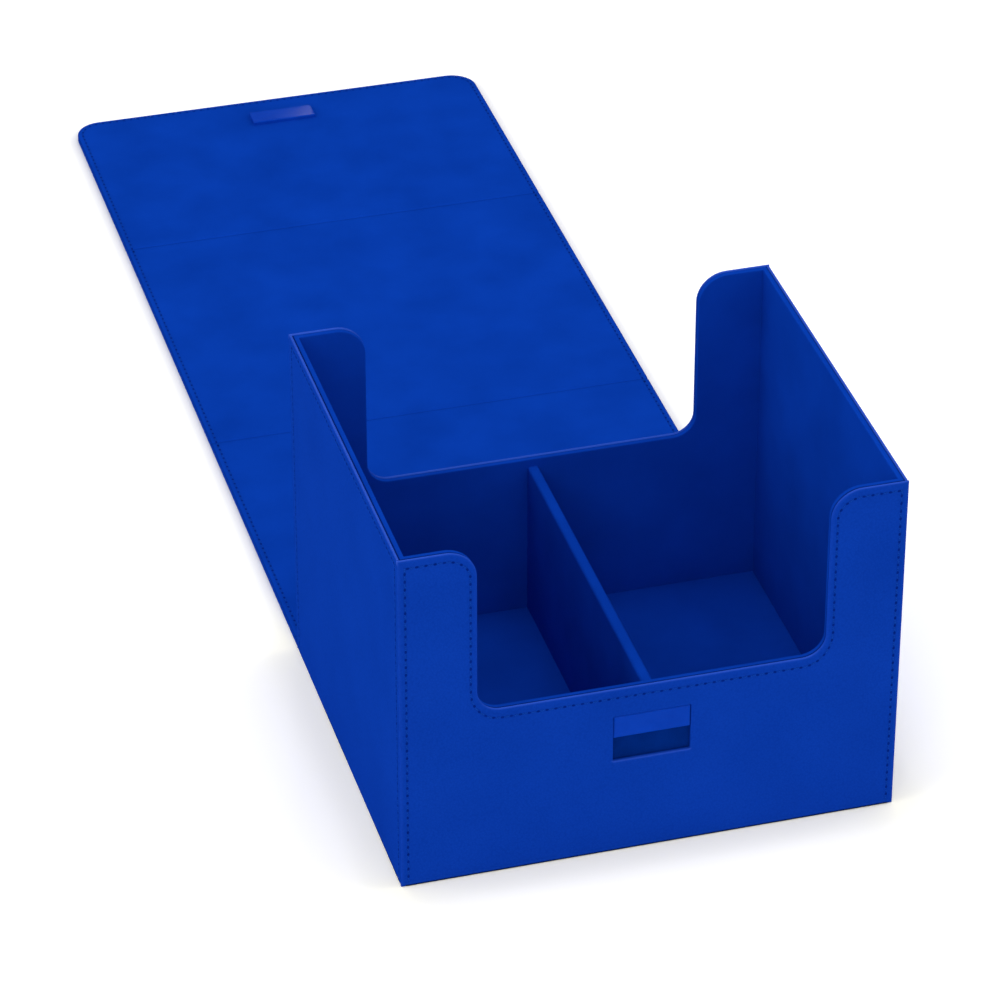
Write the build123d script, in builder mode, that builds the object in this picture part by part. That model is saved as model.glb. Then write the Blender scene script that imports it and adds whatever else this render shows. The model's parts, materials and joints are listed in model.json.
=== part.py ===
from build123d import *
import os

# Card case of leatherette over board. An open box has finger cut-outs in its front and rear walls
# and a low divider, and a three-panel cover folds up behind it, over its top and down its front.
# Millimetres, +Z up, +X to the right seen from the front, +Y to the rear. The origin is the middle
# of the box's base, on the table, and the cover lies open, flat on the table behind the box.

# Box
case_width = 194.0
case_depth = 163.0
case_height = 146.4

# Walls: leatherette outside, then board, then suede that also turns over the board's upper edge
wall_skin_thickness = 1.2
wall_board_thickness = 1.6
wall_edge_radius = 1.0
seam_step = 0.2  # the turned suede lies this far inside the leatherette's edge

# Bottom and cover: thinner leatherette, board and suede
skin_thickness = 0.8
base_board_thickness = 2.4
cover_board_thickness = 2.0
cover_edge_radius = 0.6
lining_thickness = 0.6
lining_edge_radius = 0.25
fillet_limit = 0.9  # the largest share of a sheet's thickness that an edge radius takes

# Finger cut-outs in the front and rear walls, between two towers at the corners
tower_width = 29.8
tower_radius = 12.0
cut_out_floor = 74.5
cut_out_radius = 9.0

# Divider
divider_board_thickness = 3.2
divider_drop = 3.5  # below the cut-outs
divider_edge_radius = 0.8

# Closure: a recess in the front wall, half filled by a fixed plate, half open for the flap's plate
recess_width = 30.2
recess_drop = 12.4  # below the cut-out
recess_corner_radius = 0.8
recess_edge_radius = 0.3
pocket_height = 10.4
front_plate_height = 9.6
plate_gap = 0.2
plate_chamfer = 0.35
front_plate_set_back = 0.2
flap_plate_thickness = 1.7
pocket_clearance = 0.5
tray_wall = 0.8
tray_floor = 0.5
magnet_length = 12.0
magnet_width = 8.0
magnet_gap = 3.0
magnet_floor = 0.4  # board left under the magnets

# Cover and its folds
flap_tail = 18.8  # from the middle of the flap's plate to the flap's free end
flap_corner_radius = 12.0
cover_play = 0.6  # between the closed cover and the box
fold_axis_rise = 0.2  # the folds turn about a line this far above the skin
fold_clearance = 0.2  # between two neighbouring panels at a right angle
fold_seam = 0.1  # between a fold's strip and the panel that it turns
crease_width = 3.0
crease_depth = 0.5

# Worked out from the sizes above: the box
board_depth = wall_skin_thickness + wall_board_thickness
wall_thickness = board_depth + lining_thickness
board_inset = seam_step + lining_thickness
floor_board_top = skin_thickness + base_board_thickness
floor_top = floor_board_top + lining_thickness
shell_width = case_width - 2 * wall_skin_thickness
shell_depth = case_depth - 2 * wall_skin_thickness
inner_width = case_width - 2 * board_depth
inner_depth = case_depth - 2 * board_depth
room_width = case_width - 2 * wall_thickness
room_depth = case_depth - 2 * wall_thickness
cut_out_width = case_width - 2 * tower_width
divider_top = cut_out_floor - divider_drop
divider_board_top = divider_top - lining_thickness
divider_width = divider_board_thickness + 2 * lining_thickness

# Worked out from the sizes above: the folds, as the closed cover needs them to go round the box
cover_thickness = skin_thickness + cover_board_thickness + lining_thickness
cover_lining_low = cover_thickness - lining_thickness
fold_axis_height = skin_thickness + fold_axis_rise
fold_reach = cover_thickness - fold_axis_height
fold_half = fold_reach + fold_clearance
rear_axis = case_depth / 2 + cover_play + fold_reach
closed_top_axis = case_height + cover_play + fold_reach
top_axis = rear_axis + closed_top_axis - fold_axis_height
front_axis = top_axis + case_depth + 2 * (cover_play + fold_reach)

# Worked out from the sizes above: the closure, with the flap's plate opposite the pocket when closed
recess_height = pocket_height + front_plate_height + plate_gap
recess_bottom = cut_out_floor - recess_drop - recess_height
recess_middle = recess_bottom + recess_height / 2
recess_depth = flap_plate_thickness - cover_play + pocket_clearance
plate_width = recess_width - 2 * plate_gap
flap_plate_height = pocket_height - 2 * plate_gap
pocket_middle = recess_bottom + pocket_height / 2
flap_plate_y = front_axis + closed_top_axis - pocket_middle
flap_end = flap_plate_y + flap_tail
tray_width = recess_width + 2 * tray_wall
tray_height = recess_height + 2 * tray_wall
tray_back = recess_depth + tray_floor
magnet_spacing = magnet_length + magnet_gap
magnet_thickness = cover_board_thickness - magnet_floor

# Outer faces of the four walls, each with its own +Z outwards and its +Y up
front_face = Plane((0, -case_depth / 2, 0), x_dir=(1, 0, 0), z_dir=(0, -1, 0))
rear_face = Plane((0, case_depth / 2, 0), x_dir=(-1, 0, 0), z_dir=(0, 1, 0))
left_face = Plane((-case_width / 2, 0, 0), x_dir=(0, -1, 0), z_dir=(-1, 0, 0))
right_face = Plane((case_width / 2, 0, 0), x_dir=(0, 1, 0), z_dir=(1, 0, 0))
upright = (Align.CENTER, Align.MIN)

os.makedirs("parts", exist_ok=True)


def edge_radius(radius, sheet):
    """An edge radius, held below the thickness of the sheet that it rounds."""
    return min(radius, fillet_limit * sheet)


def outer_face(solid, face):
    """The face of a wall's piece that lies furthest out along the wall's normal."""
    return solid.faces().sort_by(Axis(face.origin, face.z_dir))[-1]


def cut_out_wall(width, bottom, inset):
    """A front or rear wall's outline, with its tops and cut-out drawn in by the inset."""
    top = case_height - inset
    cut_half = cut_out_width / 2 + inset
    with BuildSketch() as wall:
        with BuildLine():
            Polyline(
                (-width / 2, bottom),
                (width / 2, bottom),
                (width / 2, top),
                (cut_half, top),
                (cut_half, cut_out_floor - inset),
                (-cut_half, cut_out_floor - inset),
                (-cut_half, top),
                (-width / 2, top),
                close=True,
            )
        make_face()
        fillet(wall.vertices().group_by(Axis.Y)[1], cut_out_radius + inset)
        fillet(wall.vertices().group_by(Axis.Y)[-1].sort_by(Axis.X)[1:3], tower_radius - inset)
    return wall.sketch


def recess_outline():
    """The closure's window in the front wall."""
    with BuildSketch() as window:
        with Locations((0, recess_middle)):
            RectangleRounded(recess_width, recess_height, recess_corner_radius)
    return window.sketch


def flap_outline(inset):
    """The flap's outline from its fold to its free end, drawn in at its three free edges."""
    half = case_width / 2 - inset
    near = front_axis + fold_half
    far = flap_end - inset
    with BuildSketch() as flap:
        with BuildLine():
            Polyline((-half, near), (half, near), (half, far), (-half, far), close=True)
        make_face()
        fillet(flap.vertices().group_by(Axis.Y)[-1], flap_corner_radius - inset)
    return flap.sketch


def panel_outline(near, far, inset):
    """A straight panel's outline between two folds, drawn in at its two free edges."""
    with BuildSketch() as panel:
        with Locations((0, (near + far) / 2)):
            Rectangle(case_width - 2 * inset, far - near)
    return panel.sketch


# Bottom: a leatherette sheet inside the walls' skins, the board on it and the suede floor on that
with BuildPart() as base_skin:
    with BuildSketch():
        Rectangle(shell_width, shell_depth)
    extrude(amount=skin_thickness)
base_skin.part.label = "base_skin"
export_step(base_skin.part, "parts/base_skin.step")

with BuildPart() as base_board:
    with BuildSketch(Plane.XY.offset(skin_thickness)):
        Rectangle(inner_width, inner_depth)
    extrude(amount=base_board_thickness)
base_board.part.label = "base_board"
export_step(base_board.part, "parts/base_board.step")

with BuildPart() as base_lining:
    with BuildSketch(Plane.XY.offset(floor_board_top)):
        Rectangle(room_width, room_depth)
    extrude(amount=lining_thickness)
base_lining.part.label = "base_lining"
export_step(base_lining.part, "parts/base_lining.step")

# Front and rear walls: round-edged skin, board, and suede turned over the board along the tops
# and round the cut-out. The closure's window goes through the front skin only.
for name, face in (("front", front_face), ("rear", rear_face)):
    with BuildPart() as wall_skin:
        with BuildSketch(face):
            add(cut_out_wall(case_width, 0, 0))
        extrude(amount=-wall_skin_thickness)
        fillet(outer_face(wall_skin, face).edges(), edge_radius(wall_edge_radius, wall_skin_thickness))
        if face is front_face:
            with BuildSketch(face):
                add(recess_outline())
            extrude(amount=-wall_skin_thickness, mode=Mode.SUBTRACT)
            window_edges = outer_face(wall_skin, face).inner_wires()[0].edges()
            fillet(window_edges, edge_radius(recess_edge_radius, wall_skin_thickness))
    wall_skin.part.label = f"{name}_skin"
    export_step(wall_skin.part, f"parts/{name}_skin.step")

    with BuildPart() as wall_board:
        with BuildSketch(face.offset(-wall_skin_thickness)):
            add(cut_out_wall(shell_width, skin_thickness, board_inset))
            if face is front_face:
                with Locations((0, recess_middle)):
                    Rectangle(tray_width, tray_height, mode=Mode.SUBTRACT)
        extrude(amount=-wall_board_thickness)
    wall_board.part.label = f"{name}_board"
    export_step(wall_board.part, f"parts/{name}_board.step")

    with BuildPart() as wall_lining:
        with BuildSketch(face.offset(-board_depth)):
            add(cut_out_wall(inner_width, floor_board_top, seam_step))
        extrude(amount=-lining_thickness)
        with BuildSketch(face.offset(-wall_skin_thickness)):
            add(cut_out_wall(shell_width, floor_board_top, seam_step))
            add(cut_out_wall(shell_width, floor_board_top, board_inset), mode=Mode.SUBTRACT)
        extrude(amount=-wall_board_thickness)
    wall_lining.part.label = f"{name}_lining"
    export_step(wall_lining.part, f"parts/{name}_lining.step")

# Side walls, between the front and rear walls, with the same three layers and a straight top
for name, face in (("left", left_face), ("right", right_face)):
    with BuildPart() as side_skin:
        with BuildSketch(face):
            Rectangle(shell_depth, case_height, align=upright)
        extrude(amount=-wall_skin_thickness)
        top_edge = outer_face(side_skin, face).edges().sort_by(Axis.Z)[-1]
        fillet(top_edge, edge_radius(wall_edge_radius, wall_skin_thickness))
    side_skin.part.label = f"{name}_skin"
    export_step(side_skin.part, f"parts/{name}_skin.step")

    with BuildPart() as side_board:
        with BuildSketch(face.offset(-wall_skin_thickness)):
            with Locations((0, skin_thickness)):
                Rectangle(inner_depth, case_height - board_inset - skin_thickness, align=upright)
        extrude(amount=-wall_board_thickness)
    side_board.part.label = f"{name}_board"
    export_step(side_board.part, f"parts/{name}_board.step")

    with BuildPart() as side_lining:
        with BuildSketch(face.offset(-board_depth)):
            with Locations((0, floor_board_top)):
                Rectangle(room_depth, case_height - seam_step - floor_board_top, align=upright)
        extrude(amount=-lining_thickness)
        with BuildSketch(face.offset(-wall_skin_thickness)):
            with Locations((0, case_height - board_inset)):
                Rectangle(inner_depth, lining_thickness, align=upright)
        extrude(amount=-wall_board_thickness)
    side_lining.part.label = f"{name}_lining"
    export_step(side_lining.part, f"parts/{name}_lining.step")

# Divider: a board from the front to the rear lining, with suede folded over its top
with BuildPart() as divider_board:
    with BuildSketch(Plane.XY.offset(floor_top)):
        Rectangle(divider_board_thickness, room_depth)
    extrude(amount=divider_board_top - floor_top)
divider_board.part.label = "divider_board"
export_step(divider_board.part, "parts/divider_board.step")

with BuildPart() as divider_lining:
    with BuildSketch(Plane.XZ):
        with Locations((0, floor_top)):
            Rectangle(divider_width, divider_top - floor_top, align=upright)
            Rectangle(
                divider_board_thickness,
                divider_board_top - floor_top,
                align=upright,
                mode=Mode.SUBTRACT,
            )
    extrude(amount=room_depth / 2, both=True)
    divider_edges = divider_lining.edges().filter_by(Axis.Y).group_by(Axis.Z)[-1]
    fillet(divider_edges, edge_radius(divider_edge_radius, divider_width / 2))
divider_lining.part.label = "divider_lining"
export_step(divider_lining.part, "parts/divider_lining.step")

# Closure in the front wall: a pan behind the skin's window, a fixed plate and a steel keeper
with BuildPart() as recess_tray:
    with BuildSketch(front_face.offset(-wall_skin_thickness)):
        with Locations((0, recess_middle)):
            Rectangle(tray_width, tray_height)
    extrude(amount=wall_skin_thickness - tray_back)
    with BuildSketch(front_face.offset(-wall_skin_thickness)):
        add(recess_outline())
    extrude(amount=wall_skin_thickness - recess_depth, mode=Mode.SUBTRACT)
recess_tray.part.label = "recess_tray"
export_step(recess_tray.part, "parts/recess_tray.step")

with BuildPart() as front_plate:
    with BuildSketch(front_face.offset(-recess_depth)):
        with Locations((0, recess_bottom + pocket_height)):
            Rectangle(plate_width, front_plate_height, align=upright)
    extrude(amount=recess_depth - front_plate_set_back)
    chamfer(outer_face(front_plate, front_face).edges(), plate_chamfer)
front_plate.part.label = "front_plate"
export_step(front_plate.part, "parts/front_plate.step")

with BuildPart() as keeper_plate:
    with BuildSketch(front_face.offset(-tray_back)):
        with Locations((0, recess_middle)):
            Rectangle(tray_width - 2 * plate_gap, tray_height - 2 * plate_gap)
    extrude(amount=tray_back - board_depth)
keeper_plate.part.label = "keeper_plate"
export_step(keeper_plate.part, "parts/keeper_plate.step")

# Cover's back and top panels: the skin turns up round the board's free edges to meet the lining
panels = (
    ("back_panel", rear_axis + fold_half, top_axis - fold_half),
    ("top_panel", top_axis + fold_half, front_axis - fold_half),
)
for name, near, far in panels:
    with BuildPart() as panel_skin:
        with BuildSketch():
            add(panel_outline(near, far, 0))
        extrude(amount=skin_thickness)
        with BuildSketch(Plane.XY.offset(skin_thickness)):
            add(panel_outline(near, far, 0))
            add(panel_outline(near, far, skin_thickness), mode=Mode.SUBTRACT)
        extrude(amount=cover_board_thickness)
        low_edges = panel_skin.edges().filter_by(Axis.Y).group_by(Axis.Z)[0]
        fillet(low_edges, edge_radius(cover_edge_radius, skin_thickness))
    panel_skin.part.label = f"{name}_skin"
    export_step(panel_skin.part, f"parts/{name}_skin.step")

    with BuildPart() as panel_board:
        with BuildSketch(Plane.XY.offset(skin_thickness)):
            add(panel_outline(near, far, skin_thickness))
        extrude(amount=cover_board_thickness)
    panel_board.part.label = f"{name}_board"
    export_step(panel_board.part, f"parts/{name}_board.step")

    with BuildPart() as panel_lining:
        with BuildSketch(Plane.XY.offset(cover_lining_low)):
            add(panel_outline(near, far, 0))
        extrude(amount=lining_thickness)
        high_edges = panel_lining.edges().filter_by(Axis.Y).group_by(Axis.Z)[-1]
        fillet(high_edges, edge_radius(lining_edge_radius, lining_thickness))
    panel_lining.part.label = f"{name}_lining"
    export_step(panel_lining.part, f"parts/{name}_lining.step")

# Cover's front flap, with two rounded corners at its free end and magnets let into its board
with BuildPart() as flap_skin:
    with BuildSketch():
        add(flap_outline(0))
    extrude(amount=skin_thickness)
    with BuildSketch(Plane.XY.offset(skin_thickness)):
        add(flap_outline(0))
        add(flap_outline(skin_thickness), mode=Mode.SUBTRACT)
    extrude(amount=cover_board_thickness)
    flap_low_edges = flap_skin.faces().sort_by(Axis.Z)[0].edges().sort_by(Axis.Y)[1:]
    fillet(flap_low_edges, edge_radius(cover_edge_radius, skin_thickness))
flap_skin.part.label = "flap_skin"
export_step(flap_skin.part, "parts/flap_skin.step")

magnet_plane = Plane((0, flap_plate_y, cover_lining_low))

with BuildPart() as flap_board:
    with BuildSketch(Plane.XY.offset(skin_thickness)):
        add(flap_outline(skin_thickness))
    extrude(amount=cover_board_thickness)
    with BuildSketch(magnet_plane):
        with GridLocations(magnet_spacing, 0, 2, 1):
            Rectangle(magnet_length, magnet_width)
    extrude(amount=-magnet_thickness, mode=Mode.SUBTRACT)
flap_board.part.label = "flap_board"
export_step(flap_board.part, "parts/flap_board.step")

with BuildPart() as flap_magnets:
    with BuildSketch(magnet_plane):
        with GridLocations(magnet_spacing, 0, 2, 1):
            Rectangle(magnet_length, magnet_width)
    extrude(amount=-magnet_thickness)
flap_magnets.part.label = "flap_magnets"
export_step(flap_magnets.part, "parts/flap_magnets.step")

with BuildPart() as flap_lining:
    with BuildSketch(Plane.XY.offset(cover_lining_low)):
        add(flap_outline(0))
    extrude(amount=lining_thickness)
    flap_high_edges = flap_lining.faces().sort_by(Axis.Z)[-1].edges().sort_by(Axis.Y)[1:]
    fillet(flap_high_edges, edge_radius(lining_edge_radius, lining_thickness))
flap_lining.part.label = "flap_lining"
export_step(flap_lining.part, "parts/flap_lining.step")

with BuildPart() as flap_plate:
    with BuildSketch(Plane((0, flap_plate_y, cover_thickness))):
        Rectangle(plate_width, flap_plate_height)
    extrude(amount=flap_plate_thickness)
    chamfer(flap_plate.faces().sort_by(Axis.Z)[-1].edges(), plate_chamfer)
flap_plate.part.label = "flap_plate"
export_step(flap_plate.part, "parts/flap_plate.step")

# Folds: with no board between them, the skin and the creased lining run on to the next panel
folds = (
    ("rear_fold", case_depth / 2, rear_axis),
    ("top_fold", top_axis - fold_half, top_axis),
    ("front_fold", front_axis - fold_half, front_axis),
)
for name, near, axis in folds:
    far = axis + fold_half - fold_seam
    with BuildPart() as fold_skin:
        with BuildSketch():
            add(panel_outline(near, far, 0))
        extrude(amount=skin_thickness)
    fold_skin.part.label = f"{name}_skin"
    export_step(fold_skin.part, f"parts/{name}_skin.step")

    crease_near = axis - crease_width / 2
    crease_far = axis + crease_width / 2
    with BuildPart() as fold_lining:
        with BuildSketch(Plane.YZ):
            with BuildLine():
                Line((near, cover_lining_low), (crease_near, cover_lining_low))
                SagittaArc((crease_near, cover_lining_low), (crease_far, cover_lining_low), -crease_depth)
                Line((crease_far, cover_lining_low), (far, cover_lining_low))
                Line((far, cover_lining_low), (far, cover_thickness))
                Line((far, cover_thickness), (crease_far, cover_thickness))
                SagittaArc((crease_far, cover_thickness), (crease_near, cover_thickness), crease_depth)
                Line((crease_near, cover_thickness), (near, cover_thickness))
                Line((near, cover_thickness), (near, cover_lining_low))
            make_face()
        extrude(amount=case_width / 2, both=True)
    fold_lining.part.label = f"{name}_lining"
    export_step(fold_lining.part, f"parts/{name}_lining.step")
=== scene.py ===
"""Card case: a leatherette box with a folding cover, finished on its CAD frame."""
import json
import logging
import math
from dataclasses import astuple, dataclass
from enum import Enum
from typing import Any, Iterable, Protocol, Sequence

import bmesh
import bpy
from mathutils import Matrix, Vector


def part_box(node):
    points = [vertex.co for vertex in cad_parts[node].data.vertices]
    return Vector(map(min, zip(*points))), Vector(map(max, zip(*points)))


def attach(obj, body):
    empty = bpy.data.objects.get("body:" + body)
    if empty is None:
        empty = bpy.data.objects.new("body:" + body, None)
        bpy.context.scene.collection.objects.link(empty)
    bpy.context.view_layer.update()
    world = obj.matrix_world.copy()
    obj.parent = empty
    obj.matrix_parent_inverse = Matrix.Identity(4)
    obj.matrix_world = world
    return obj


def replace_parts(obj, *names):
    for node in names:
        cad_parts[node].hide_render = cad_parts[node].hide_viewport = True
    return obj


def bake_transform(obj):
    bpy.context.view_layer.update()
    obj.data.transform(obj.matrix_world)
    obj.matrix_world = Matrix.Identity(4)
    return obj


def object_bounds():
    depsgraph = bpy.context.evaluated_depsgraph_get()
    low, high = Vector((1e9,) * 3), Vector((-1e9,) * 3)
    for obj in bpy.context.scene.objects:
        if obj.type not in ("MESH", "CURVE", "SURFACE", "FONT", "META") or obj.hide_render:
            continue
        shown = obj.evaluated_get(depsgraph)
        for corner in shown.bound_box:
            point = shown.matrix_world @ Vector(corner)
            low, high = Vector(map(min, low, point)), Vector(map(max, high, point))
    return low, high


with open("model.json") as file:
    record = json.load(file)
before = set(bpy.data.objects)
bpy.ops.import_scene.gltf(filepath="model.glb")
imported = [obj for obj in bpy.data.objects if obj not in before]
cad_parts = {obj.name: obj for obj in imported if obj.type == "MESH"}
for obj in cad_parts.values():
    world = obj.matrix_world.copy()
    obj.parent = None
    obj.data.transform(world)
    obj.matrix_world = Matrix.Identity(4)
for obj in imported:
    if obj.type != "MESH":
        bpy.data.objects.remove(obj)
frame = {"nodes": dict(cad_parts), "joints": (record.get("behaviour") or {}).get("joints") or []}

CAD_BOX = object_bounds()
MM = 0.001
SHARP_ANGLE = math.radians(40)
# Name of the mesh attribute that paints points lighter above 0, as edge wear with a painted highlight, and
# paints shade into seams below 0.
WEAR_AND_PAINTED_LIGHT = "wear_and_painted_light"
LOG = logging.getLogger("card_case")

Colour = tuple[int, int, int]
Flat = tuple[float, float]
Ring = list[bmesh.types.BMVert]


def linear(colour: Colour) -> tuple[float, float, float, float]:
    """Turns an 8-bit display colour into linear light.

    Args:
        colour: Red, green and blue from 0 to 255.

    Returns:
        The same colour as linear red, green, blue and full alpha.
    """
    shares = (c / 255 for c in colour)
    return (*(s / 12.92 if s <= 0.04045 else ((s + 0.055) / 1.055) ** 2.4 for s in shares), 1.0)


class Field:
    """A node's output that takes part in arithmetic like a number."""

    def __init__(self, graph: "Graph", socket: bpy.types.NodeSocket) -> None:
        """Wraps a socket of a graph."""
        self.graph = graph
        self.socket = socket

    def _math(self, operation: str, first: Any, second: Any) -> "Field":
        """Joins two values, fields or plain numbers, with a Math node."""
        return self.graph.node("ShaderNodeMath", {"operation": operation}, {0: first, 1: second})

    def __add__(self, other: Any) -> "Field":
        """Sum."""
        return self._math("ADD", self, other)

    def __radd__(self, other: Any) -> "Field":
        """Sum with a number on the left."""
        return self._math("ADD", other, self)

    def __sub__(self, other: Any) -> "Field":
        """Difference."""
        return self._math("SUBTRACT", self, other)

    def __rsub__(self, other: Any) -> "Field":
        """Difference from a number on the left."""
        return self._math("SUBTRACT", other, self)

    def __mul__(self, other: Any) -> "Field":
        """Product."""
        return self._math("MULTIPLY", self, other)

    def __rmul__(self, other: Any) -> "Field":
        """Product with a number on the left."""
        return self._math("MULTIPLY", other, self)

    def __pow__(self, other: Any) -> "Field":
        """Power."""
        return self._math("POWER", self, other)

    def __rpow__(self, other: Any) -> "Field":
        """Power of a number on the left."""
        return self._math("POWER", other, self)

    def __or__(self, other: Any) -> "Field":
        """The larger of the two."""
        return self._math("MAXIMUM", self, other)

    def __ror__(self, other: Any) -> "Field":
        """The larger of the two, with a number on the left."""
        return self._math("MAXIMUM", other, self)


class Graph:
    """The node tree of one material or of the world."""

    def __init__(self, tree: bpy.types.NodeTree) -> None:
        """Takes over a tree and empties it."""
        self.tree = tree
        tree.nodes.clear()

    def node(self, kind: str, settings: dict[str, Any] | None = None,
             sockets: dict[str | int, Any] | None = None, out: str | int = 0) -> Field | None:
        """Adds one node.

        Args:
            kind: The node's type.
            settings: Attributes of the node, which are set first.
            sockets: Values or fields for its inputs, by name or number.
            out: The output to hand back.

        Returns:
            The chosen output, or None for a node that has none.
        """
        made = self.tree.nodes.new(kind)
        for name, value in (settings or {}).items():
            setattr(made, name, value)
        for key, value in (sockets or {}).items():
            if isinstance(value, Field):
                self.tree.links.new(value.socket, made.inputs[key])
            else:
                made.inputs[key].default_value = value
        return Field(self, made.outputs[out]) if made.outputs else None

    def noise(self, point: Field, size: float, detail: float = 3.0) -> Field:
        """Soft noise with features of about the given size in metres."""
        return self.node("ShaderNodeTexNoise", {}, {"Vector": point, "Scale": 1 / size, "Detail": detail})

    def span(self, value: Field, low: float, high: float, to_low: float = 0.0, to_high: float = 1.0) -> Field:
        """Maps a value from one range to another and clamps it there."""
        return self.node("ShaderNodeMapRange", {"clamp": True}, {
            "Value": value, "From Min": low, "From Max": high, "To Min": to_low, "To Max": to_high})

    def vector(self, operation: str, first: Field, second: Any = (0.0, 0.0, 0.0)) -> Field:
        """Joins two vectors or colours with a Vector Math node."""
        return self.node("ShaderNodeVectorMath", {"operation": operation}, {0: first, 1: second})

    def length(self, vector: Field) -> Field:
        """A vector's length."""
        return self.node("ShaderNodeVectorMath", {"operation": "LENGTH"}, {0: vector}, "Value")

    def mix(self, factor: Field, first: Any, second: Any) -> Field:
        """Mixes two colours."""
        return self.node("ShaderNodeMix", {"data_type": "RGBA"}, {0: factor, 6: first, 7: second}, 2)


class Grain(Enum):
    """The relief that a surface has."""

    PEBBLE = "pressed pebble grain"
    NAP = "short brushed nap"
    TWIST = "twisted strands"
    BRUSHED = "long fine scratches"
    FIBRE = "pressed fibres"
    PEEL = "slight waviness of sprayed lacquer"


@dataclass(frozen=True)
class Finish:
    """One material: two shades that drift into each other, and a grain that stands in relief."""

    name: str
    dark: Colour
    light: Colour
    grain: Grain
    grain_size: float
    relief: float
    patch_size: float = 30 * MM
    grain_share: float = 0.25
    rough: tuple[float, float] = (0.6, 0.75)
    specular: float = 0.0
    metallic: float = 0.0
    coat: float = 0.0
    coat_rough: float = 0.1
    sheen: float = 0.0
    # Lighter colour for marked edges: edge wear together with a painted highlight.
    edge: Colour | None = None
    edge_coat: float = 0.0
    # Darker colour for marked seams: painted shade.
    seam: Colour | None = None
    mark_share: float = 0.8

    def _height(self, graph: Graph, point: Field) -> Field:
        """The grain's height from 0 to 1 at a point."""
        if self.grain is Grain.PEBBLE:
            cells = graph.node("ShaderNodeTexVoronoi", {"feature": "SMOOTH_F1"}, {
                "Vector": point, "Scale": 1 / self.grain_size, "Smoothness": 0.35})
            return 1.0 - cells * 0.8 - graph.noise(point, self.grain_size * 0.35) * 0.3
        if self.grain is Grain.NAP:
            fibres = graph.noise(point, self.grain_size, 6.0)
            return fibres * 0.7 + graph.noise(point, self.grain_size * 6, 2.0) * 0.3
        stretches = {Grain.BRUSHED: (0.03, 1.0, 1.0), Grain.FIBRE: (0.4, 1.0, 0.7)}
        drawn = graph.vector("MULTIPLY", point, stretches.get(self.grain, (1.0, 1.0, 1.0)))
        if self.grain is Grain.TWIST:
            return graph.node("ShaderNodeTexWave", {"bands_direction": "DIAGONAL"}, {
                "Vector": drawn, "Scale": 0.3 / self.grain_size, "Distortion": 1.5, "Detail": 1.0}, 1)
        return graph.noise(drawn, self.grain_size, 5.0 if self.grain is Grain.FIBRE else 2.0)

    def _marked(self, graph: Graph, colour: Field, sockets: dict[str | int, Any]) -> Field:
        """Paints edges lighter, as wear with a painted highlight, and paints shade into seams, where the mesh
        marks them.

        Args:
            graph: The material's nodes.
            colour: The plain colour.
            sockets: The shader's inputs, where a lightened edge sets its coat.

        Returns:
            The colour with its marks.
        """
        mark = graph.node("ShaderNodeAttribute", {"attribute_name": WEAR_AND_PAINTED_LIGHT}, out="Fac")
        # Marked edges get the lighter colour: edge wear with a painted highlight.
        if self.edge is not None:
            wear_light_shade = graph.span(mark, 0.0, 1.0)
            colour = graph.mix(wear_light_shade * self.mark_share, colour, linear(self.edge))
            sockets["Coat Weight"] = wear_light_shade * self.edge_coat
        # Marked seams get the darker colour: painted shade in the groove.
        if self.seam is not None:
            colour = graph.mix(graph.span(mark, -1.0, 0.0, self.mark_share, 0.0), colour, linear(self.seam))
        return colour

    def material(self) -> bpy.types.Material:
        """Builds the material's nodes.

        Returns:
            The finished material.
        """
        made = bpy.data.materials.new(self.name)
        made.use_nodes = True
        graph = Graph(made.node_tree)
        point = graph.node("ShaderNodeTexCoord", out="Object")
        height = self._height(graph, point)
        clouds = graph.noise(point, self.patch_size, 4.0)
        shade = graph.span(clouds * (1 - self.grain_share) + height * self.grain_share, 0.3, 0.7)
        colour = graph.mix(shade, linear(self.dark), linear(self.light))
        sockets: dict[str | int, Any] = {
            "Metallic": self.metallic,
            "Specular IOR Level": self.specular,
            "Roughness": graph.span(height, 0.2, 0.8, self.rough[1], self.rough[0]),
            "Coat Weight": self.coat,
            "Coat Roughness": self.coat_rough,
            "Sheen Weight": self.sheen,
            "Sheen Tint": linear(self.light),
        }
        if self.edge is not None or self.seam is not None:
            colour = self._marked(graph, colour, sockets)
        sockets["Base Color"] = colour
        sockets["Normal"] = graph.node("ShaderNodeBump", {}, {
            "Strength": 1.0, "Distance": self.relief, "Height": height})
        surface = graph.node("ShaderNodeBsdfPrincipled", {}, sockets)
        graph.node("ShaderNodeOutputMaterial", {}, {"Surface": surface})
        return made


# The leatherette's edge colour is edge wear with a painted highlight.
LEATHERETTE = Finish("leatherette", (9, 54, 158), (12, 60, 170), Grain.PEBBLE, 0.9 * MM, 0.03 * MM,
                     grain_share=0.5, rough=(0.55, 0.7), coat_rough=0.35, edge=(46, 88, 202), edge_coat=0.2)
# The suede's seam colour is painted shade.
SUEDE = Finish("suede", (6, 54, 159), (9, 62, 176), Grain.NAP, 0.5 * MM, 0.04 * MM,
               patch_size=26 * MM, rough=(0.85, 0.95), sheen=0.02, seam=(1, 22, 84))
THREAD = Finish("thread", (10, 54, 148), (17, 68, 174), Grain.TWIST, 0.4 * MM, 0.05 * MM,
                patch_size=3 * MM, grain_share=0.6)
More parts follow.
